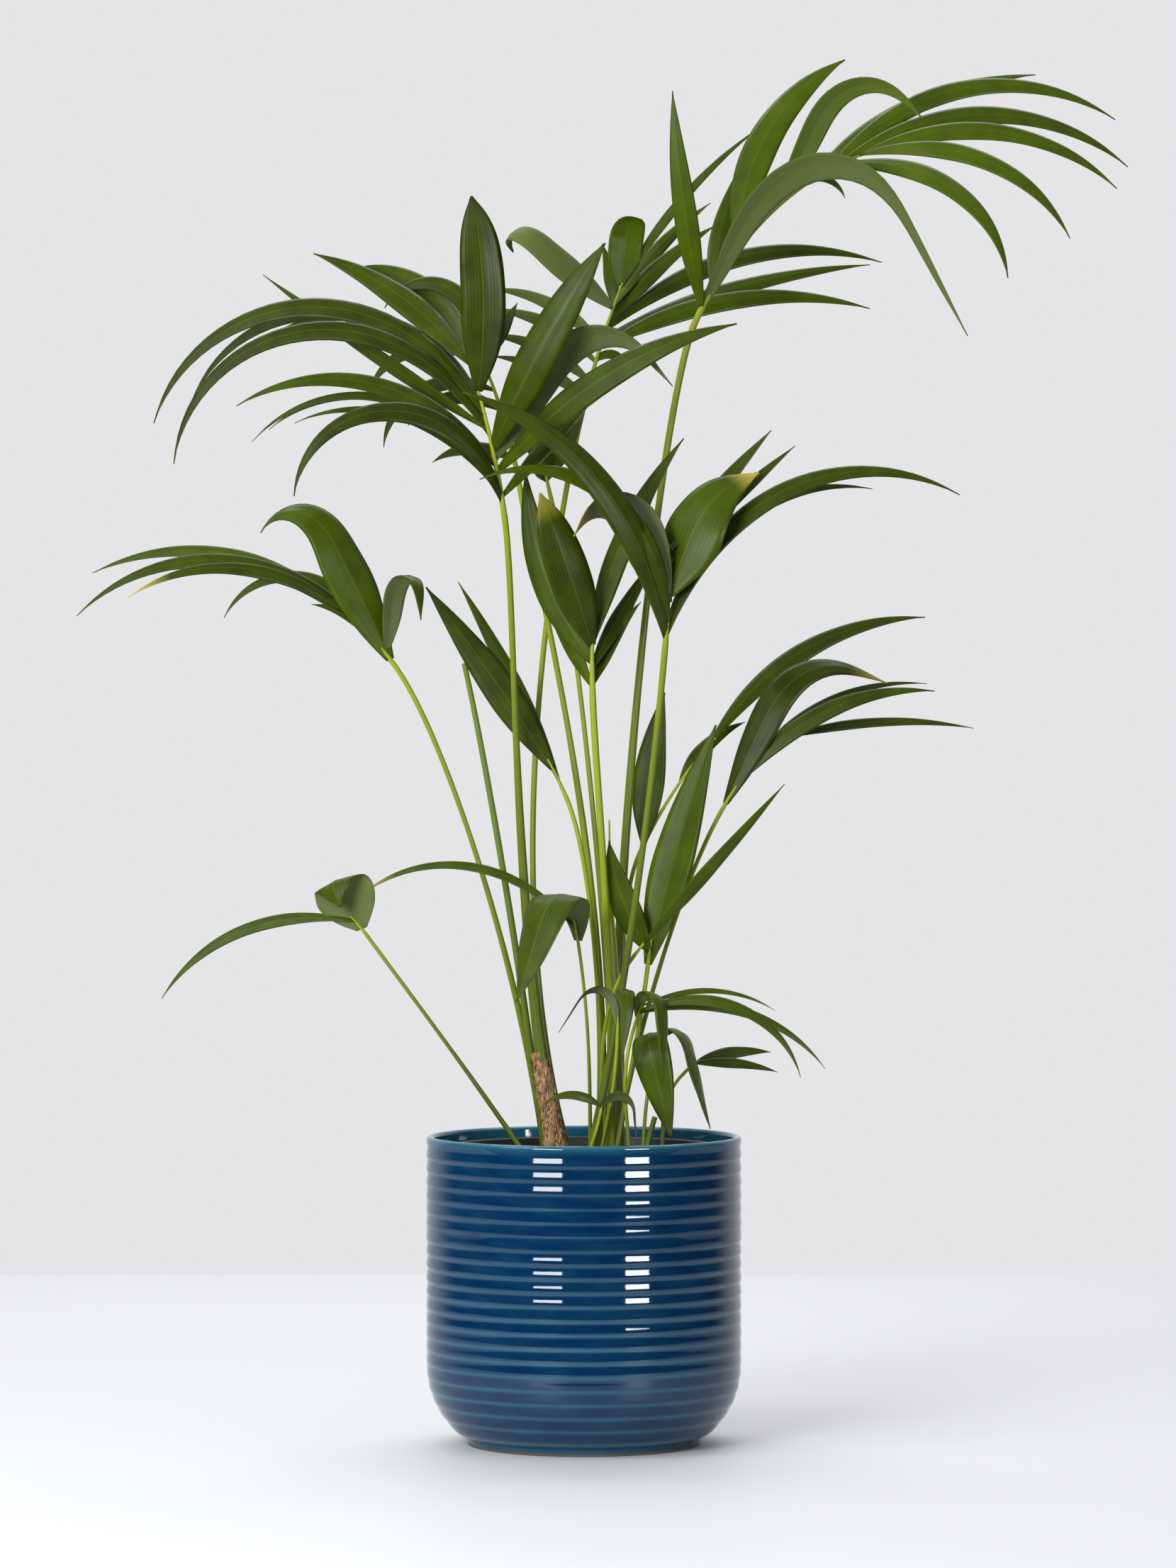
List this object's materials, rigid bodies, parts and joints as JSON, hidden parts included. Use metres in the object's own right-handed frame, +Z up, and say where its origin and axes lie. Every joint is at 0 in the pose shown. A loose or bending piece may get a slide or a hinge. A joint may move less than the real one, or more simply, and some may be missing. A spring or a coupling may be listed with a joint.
{
  "type": "potted kentia palm",
  "caption": "Kentia palm with arching feather fronds on slender stalks, rising from soil in a ribbed round glazed pot.",
  "frame": {"origin": "centre of the pot's flat underside, on the surface it stands on", "axes": "+Z up; the fronds fan out along X, and the front, as pictured, faces -Y"},
  "size_m": [0.8342, 0.3528, 1.1019],
  "materials": {
    "glaze": "deep blue gloss glaze over ribbed stoneware",
    "liner": "black moulded nursery pot",
    "soil": "dark crumbly potting soil",
    "trunk_fibre": "brown fibrous leaf bases",
    "old_stalk": "drying brown-green stalk",
    "stalk": "smooth lime-green petiole",
    "leaf": "deep green satin leaflets, paler below"
  },
  "bodies": {
    "root": {"pot": "glaze", "grow_pot": "liner", "soil": "soil", "trunk": "trunk_fibre", "cut_stalk": "old_stalk", "cut_stub": "old_stalk", "spear": "stalk", "sheath": "stalk", "stalk_top_right": "stalk", "stalk_upper_left": "stalk", "stalk_upper_back": "stalk", "stalk_right_front": "stalk", "stalk_centre_front": "stalk", "stalk_left": "stalk", "stalk_left_inner": "stalk", "stalk_right_low": "stalk", "stalk_right_inner": "stalk", "stalk_low_pair": "stalk", "stalk_low_single": "stalk", "stalk_low_left": "stalk", "stalk_low_centre": "stalk", "stalk_young_left": "stalk", "stalk_young_right": "stalk", "stalk_foot_front": "stalk", "stalk_foot_right": "stalk", "stalk_foot_back_right": "stalk", "stalk_mid_back": "stalk", "stalk_back_left": "stalk", "frond_top_right": "leaf", "frond_upper_left": "leaf", "frond_upper_back": "leaf", "frond_right_front": "leaf", "frond_centre_front": "leaf", "frond_left": "leaf", "frond_left_inner": "leaf", "frond_right_low": "leaf", "frond_right_inner": "leaf", "frond_low_pair": "leaf", "frond_low_single": "leaf", "frond_low_left": "leaf", "frond_low_centre": "leaf", "frond_young_left": "leaf", "frond_young_right": "leaf", "frond_foot_front": "leaf", "frond_foot_right": "leaf", "frond_foot_back_right": "leaf", "frond_mid_back": "leaf", "frond_back_left": "leaf"}
  },
  "joints": []
}
